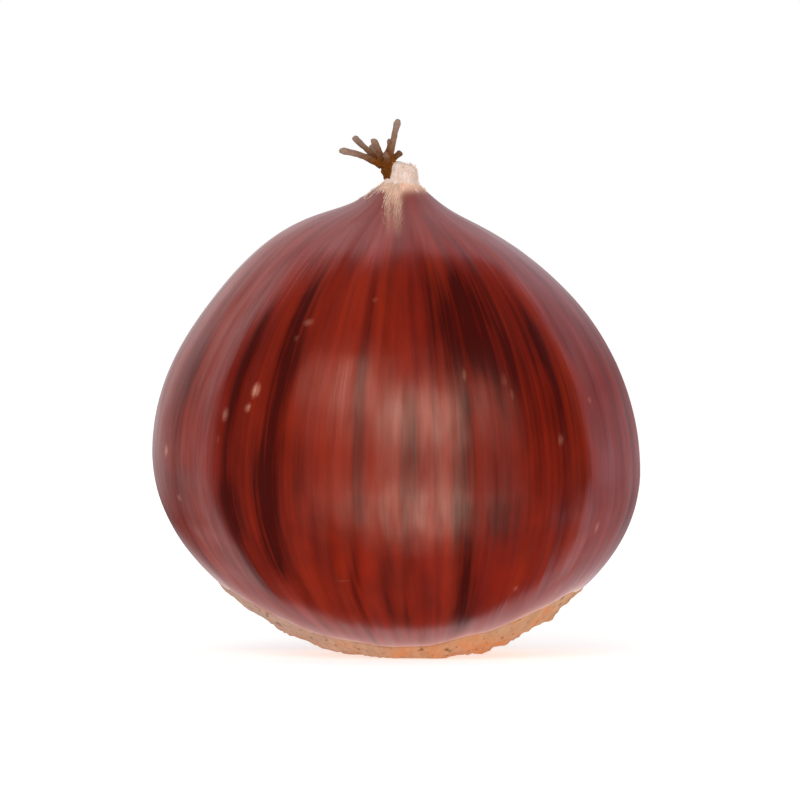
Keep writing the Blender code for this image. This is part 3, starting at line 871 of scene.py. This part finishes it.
knot_rise = np.linspace(-0.55, 0.45, KNOT_ROWS)
knot_path = KNOT_AT + np.stack(
    [0.18 * MM - 0.35 * MM * knot_rise, 0.0 * knot_rise, KNOT_HEIGHT * knot_rise], axis=-1
)
knot_radius = KNOT_RADIUS * np.interp(
    np.linspace(0, 1, KNOT_ROWS), (0.0, 0.25, 0.5, 0.75, 1.0), (0.75, 0.98, 1.05, 0.95, 0.60)
)
knot = shrivelled("style_knot", knot_path, knot_radius, 5, 1.0, seed=51, greyed=0.15)
prongs = []
for number, (around, root_lean, end_lean, length) in enumerate(STYLES, 1):
    heading = np.array((math.cos(math.radians(around)), math.sin(math.radians(around)), 0.0))
    share = np.linspace(0.0, 1.0, STYLE_ROWS)
    lean = np.radians(root_lean + (end_lean - root_lean) * share)
    step = np.sin(lean)[:, None] * heading + np.cos(lean)[:, None] * (0, 0, 1)
    step = step * length / (STYLE_ROWS - 1)
    style_path = KNOT_AT + STYLE_RIM * heading + np.cumsum(step, axis=0) - step[0]
    kink = 0.05 * MM * np.sin(7 * share + number)
    style_path += kink[:, None] * np.cross(heading, (0.0, 0.0, 1.0))
    width = np.interp(share, STYLE_SHARES, STYLE_RADII)
    greyness = min(1.0, length / STYLE_GREY_LENGTH)
    prongs.append(shrivelled(f"dried_style_{number}", style_path, width, 3, 2.5, 60 + number, greyness))
# Dried flower stalk: matt, dark at the root and grey-brown further out, wrinkled lengthways
dried, stalk = new_material("dried_flower_stalk")
place = add(dried, "TexCoord").outputs["Object"]
reach_at = add(dried, "Attribute", attribute_name="reach").outputs["Fac"]
wrinkles = add(dried, "TexNoise", {"Vector": place, "Scale": 1 / (0.35 * MM), "Detail": 3.0})
greyed = add(dried, "Mix", {"Factor": wrinkles, "A": "#74584A", "B": "#B09484"}, data_type="RGBA")
rooted = add(dried, "Mix", {"Factor": wrinkles, "A": "#3C1A04", "B": "#8C500E"}, data_type="RGBA")
greying = add(dried, "MapRange", {"Value": reach_at, "From Min": 0.16, "From Max": 0.85})
stalk_colour = add(dried, "Mix", {"Factor": greying, "A": rooted, "B": greyed}, data_type="RGBA")
wrinkled = add(dried, "Bump", {"Strength": 0.7, "Distance": 0.05 * MM, "Height": wrinkles})
feed(stalk, {"Base Color": stalk_colour, "Normal": wrinkled, "Roughness": 0.8, "Specular IOR Level": 0.15})
for piece in [knot, *prongs]:
    piece.data.materials.append(dried)
    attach(piece, "root")
    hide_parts("chestnut")


# The studio: a plain pale floor, soft light from a window side in front of the nut, pale
# surroundings behind it, and a long lens level with the nut.
FLOOR_RADIUS = 2.5
FLOOR_SIDES = 96
floor_turn = turns(FLOOR_SIDES)
floor_points = np.stack([np.cos(floor_turn), np.sin(floor_turn), 0 * floor_turn], axis=-1)
floor = meshed("floor", FLOOR_RADIUS * floor_points, [list(range(FLOOR_SIDES))])
paper, sheet = new_material("pale_studio_paper")
feed(sheet, {"Base Color": "#F4F3F1", "Roughness": 0.9, "Specular IOR Level": 0.1})
feed(sheet, {"Emission Color": (1.0, 1.0, 1.0, 1.0), "Emission Strength": 0.56})
floor.data.materials.append(paper)
floor.visible_glossy = False  # what the shell mirrors from below is in the room's tones

# The lamps: degrees to the right of straight ahead, degrees above level, width and height in
# degrees as the nut sees them, and how bright each is. The shell mirrors the room instead.
LAMPS = ((-14.0, 38.0, 44.0, 30.0, 2.4), (14.0, -4.0, 40.0, 40.0, 1.3))
LAMP_DISTANCE = 0.9
nut_middle = np.array((0.0, 0.0, 16.0 * MM))
for number, (right, above, wide, high, radiance) in enumerate(LAMPS, 1):
    turn, lift = math.radians(right), math.radians(above)
    way = np.array((math.sin(turn) * math.cos(lift), -math.cos(turn) * math.cos(lift), math.sin(lift)))
    glow = bpy.data.lights.new(f"soft_lamp_{number}", "AREA")
    glow.shape = "RECTANGLE"
    glow.size = 2 * LAMP_DISTANCE * math.tan(math.radians(wide / 2))
    glow.size_y = 2 * LAMP_DISTANCE * math.tan(math.radians(high / 2))
    glow.energy = radiance * math.pi * glow.size * glow.size_y
    lamp = bpy.data.objects.new(f"soft_lamp_{number}", glow)
    lamp.location = nut_middle + way * LAMP_DISTANCE
    lamp.rotation_euler = (math.pi / 2 - lift, 0.0, turn)
    lamp.visible_camera = False
    lamp.visible_glossy = False
    bpy.context.scene.collection.objects.link(lamp)

world = bpy.data.worlds.new("pale_room")
bpy.context.scene.world = world
world.use_nodes = True
world.node_tree.nodes.clear()
way_out = add(world, "TexCoord").outputs["Generated"]
way_parts = add(world, "SeparateXYZ", {"Vector": way_out})
way_x, way_y, way_z = (way_parts.outputs[name] for name in "XYZ")
# The room as the shell mirrors it, dark on the viewer's side. By the bearing round the line of
# sight, in degrees (0 is right and 90 is up), it begins to be pale this far back, and is this
# pale. Back runs from -1 at the viewer to 1 straight behind the nut
ROOM_BEGINS = (
    (-180, -0.08), (-160, 0.02), (-140, 0.19), (-120, 0.42), (-100, 0.31), (-80, 0.25),
    (-60, 0.33), (-40, 0.17), (-20, -0.16), (0, -0.05), (20, -0.08), (40, 0.14), (60, 0.30),
    (80, 0.02), (100, 0.02), (120, 0.07), (140, 0.07), (160, -0.08), (180, -0.08),
)
ROOM_PALE = (
    (-180, 1.35), (-160, 1.30), (-145, 1.45), (-130, 1.30), (-120, 0.80), (-100, 1.20),
    (-80, 1.60), (-60, 1.20), (-40, 1.55), (-20, 1.34), (0, 0.90), (20, 0.55), (40, 0.95),
    (60, 1.15), (80, 0.92), (100, 1.50), (120, 1.60), (140, 1.45), (160, 1.30), (180, 1.35),
)
# How the tone goes on from where it begins, and the shade that lies low and far back
ROOM_DEPTH = (
    (-0.20, 0.07), (-0.10, 0.10), (-0.04, 0.22), (0.0, 0.50), (0.05, 0.95), (0.12, 1.06),
    (0.25, 1.00), (0.40, 0.95), (0.60, 0.82), (0.85, 0.60), (1.10, 0.45),
)
SHADE_DEPTH = ((0.19, 0.0), (0.38, 1.0), (1.10, 1.0))
SHADE_ROUND = (
    (-180, 0.10), (-165, 0.36), (-150, 0.85), (-137, 0.55), (-118, 0.0), (-55, 0.0),
    (-40, 0.50), (-15, 0.42), (0, 0.0), (180, 0.10),
)
bearing = add(world, "Math", {0: way_z, 1: way_x}, operation="ARCTAN2")
bearing_share = add(world, "MapRange", {"Value": bearing, "From Min": -math.pi, "From Max": math.pi})
room_begins, room_pale, shade_round = (
    add(world, "ValToRGB", {"Fac": bearing_share}) for _ in range(3)
)
# A ramp holds no value below 0, so where the room begins is held with this much on top
RAMP_LIFT = 0.2
past_even = add(world, "Math", {0: way_y, 1: room_begins}, operation="SUBTRACT")
# Things in the room make its edge and its tone uneven, by this much either way
EDGE_UNEVEN = 0.07
TONE_UNEVEN = 0.16
things = add(world, "TexNoise", {"Vector": way_out, "Scale": 5.0, "Detail": 2.5})
edge_moved, tone_moved = (
    add(
        world,
        "MapRange",
        {"Value": things, "From Min": 0.25, "From Max": 0.75, "To Min": low, "To Max": high},
    )
    for low, high in ((-EDGE_UNEVEN, EDGE_UNEVEN), (1 + TONE_UNEVEN, 1 - TONE_UNEVEN))
)
past = add(world, "Math", {0: past_even, 1: edge_moved}, operation="ADD")
past_share = add(
    world, "MapRange", {"Value": past, "From Min": -0.2 - RAMP_LIFT, "From Max": 1.1 - RAMP_LIFT}
)
room_depth, shade_depth = (add(world, "ValToRGB", {"Fac": past_share}) for _ in range(2))
shade_share = add(world, "Math", {0: shade_depth, 1: shade_round}, operation="MULTIPLY")
shaded = add(world, "Math", {0: 1.0, 1: shade_share}, operation="SUBTRACT")
# The window, in degrees round and up: one tall pane with a bar across it, brightest right of the
# middle, and a second one high on the left
forward = add(world, "Math", {0: way_y, 1: -1.0}, operation="MULTIPLY")
round_way = add(world, "Math", {0: way_x, 1: forward}, operation="ARCTAN2")
up_way = add(world, "Math", {0: way_z}, operation="ARCSINE")
WINDOW_LIMIT = math.radians(60.0)
round_share, up_share = (
    add(world, "MapRange", {"Value": way, "From Min": -WINDOW_LIMIT, "From Max": WINDOW_LIMIT})
    for way in (round_way, up_way)
)
tall_round, tall_up, high_round, high_up = (
    add(world, "ValToRGB", {"Fac": share}) for share in (round_share, up_share) * 2
)
TALL_ROUND = (
    (-42, 0.0), (-30, 0.06), (-24, 0.20), (-13, 0.40), (0, 0.44), (5, 0.60), (9, 0.85),
    (14, 1.0), (19, 0.75), (26, 0.26), (44, 0.12), (58, 0.0),
)
TALL_UP = (
    (-44, 0.0), (-32, 0.20), (-22, 0.66), (-8, 0.82), (2, 0.42), (11, 0.37), (20, 0.80),
    (29, 1.0), (35, 0.66), (40, 0.22), (46, 0.0),
)
HIGH_ROUND = (
    (-42, 0.0), (-33, 0.32), (-26, 0.36), (-21, 0.78), (-16, 1.05), (-11, 1.05), (-7, 0.70),
    (0, 0.32), (8, 0.14), (40, 0.08), (50, 0.0),
)
HIGH_UP = ((28, 0.0), (36, 0.8), (44, 1.0), (49, 0.6), (54, 0.0))
for ramp, tones, first, last in (
    (room_begins, ROOM_BEGINS, -180, 180),
    (room_pale, ROOM_PALE, -180, 180),
    (room_depth, ROOM_DEPTH, -0.2, 1.1),
    (shade_depth, SHADE_DEPTH, -0.2, 1.1),
    (shade_round, SHADE_ROUND, -180, 180),
    (tall_round, TALL_ROUND, -60, 60),
    (tall_up, TALL_UP, -60, 60),
    (high_round, HIGH_ROUND, -60, 60),
    (high_up, HIGH_UP, -60, 60),
):
    stops = ramp.color_ramp.elements
    while len(stops) < len(tones):
        stops.new(0.5)
    for stop, (place_at, tone) in zip(stops, tones):
        tone = tone + RAMP_LIFT if ramp is room_begins else tone
        stop.position = (place_at - first) / (last - first)
        stop.color = (tone, tone, tone, 1.0)
tall = add(world, "Math", {0: tall_round, 1: tall_up}, operation="MULTIPLY")
high = add(world, "Math", {0: high_round, 1: high_up}, operation="MULTIPLY")
TALL_LIGHT, HIGH_LIGHT = 4.9, 2.8
WINDOW_TINT = (1.36, 0.99, 0.77)
# The walls' tint runs from the first to the second towards the upper right, and is partway there
# in the middle
WALL_TINTS = ((1.10, 0.96, 0.97, 1.0), (1.03, 0.95, 1.14, 1.0))
TINT_WAY, TINT_MIDDLE = (0.65, 0.0, 0.30), 0.2
SKYLIGHT = 0.5  # what lights the nut evenly from all round
tall_light = add(world, "Math", {0: tall, 1: TALL_LIGHT}, operation="MULTIPLY")
window_light = add(world, "Math", {0: high, 1: HIGH_LIGHT, 2: tall_light}, operation="MULTIPLY_ADD")
warm_window = add(world, "VectorMath", {0: WINDOW_TINT, "Scale": window_light}, operation="SCALE")
to_upper_right = add(world, "VectorMath", {0: way_out, 1: TINT_WAY}, operation="DOT_PRODUCT")
tint_share = add(world, "Math", {0: to_upper_right, 1: TINT_MIDDLE}, operation="ADD", use_clamp=True)
wall_tint = add(
    world, "Mix", {"Factor": tint_share, "A": WALL_TINTS[0], "B": WALL_TINTS[1]}, data_type="RGBA"
)
wall_tone = room_depth
for share in (room_pale, shaded, tone_moved):
    wall_tone = add(world, "Math", {0: wall_tone, 1: share}, operation="MULTIPLY")
walls = add(world, "VectorMath", {0: wall_tint, "Scale": wall_tone}, operation="SCALE")
mirrored = add(world, "VectorMath", {0: walls, 1: warm_window}, operation="ADD")
# The shell mirrors the room, its matt surfaces get the even light, and the camera sees white
rays_seen = add(world, "LightPath")
seen = (SKYLIGHT, SKYLIGHT, SKYLIGHT, 1.0)
for ray, light in (("Is Glossy Ray", mirrored), ("Is Camera Ray", (1.0, 1.0, 1.0, 1.0))):
    seen = add(world, "Mix", {"Factor": rays_seen.outputs[ray], "A": seen, "B": light}, data_type="RGBA")
surroundings = add(world, "Background", {"Color": seen})
add(world, "OutputWorld", {"Surface": surroundings})

# The picture: the nut's width and place in the photograph's frame of 800 by 800
PHOTO_SIDE = 800
PHOTO_NUT_WIDTH = 489
PHOTO_MIDDLE = (394.5, 656.0)  # the middle of the nut's width, and the foot of the nut
CAMERA_DISTANCE = 0.50
CAMERA_ELEVATION = math.radians(1.5)
frame_width = NUT_WIDTH * PHOTO_SIDE / PHOTO_NUT_WIDTH
pixel = frame_width / PHOTO_SIDE
aim = np.array((PHOTO_SIDE / 2 - PHOTO_MIDDLE[0], 0.0, PHOTO_MIDDLE[1] - PHOTO_SIDE / 2)) * pixel
lens = bpy.data.cameras.new("long_lens")
lens.lens = lens.sensor_width * CAMERA_DISTANCE / frame_width
lens.clip_start, lens.clip_end = 0.02, 10.0
camera = bpy.data.objects.new("camera", lens)
camera.location = aim + CAMERA_DISTANCE * np.array(
    (0.0, -math.cos(CAMERA_ELEVATION), math.sin(CAMERA_ELEVATION))
)
camera.rotation_euler = (math.pi / 2 - CAMERA_ELEVATION, 0.0, 0.0)
bpy.context.scene.collection.objects.link(camera)
bpy.context.scene.camera = camera
bpy.context.scene.view_settings.view_transform = "Standard"
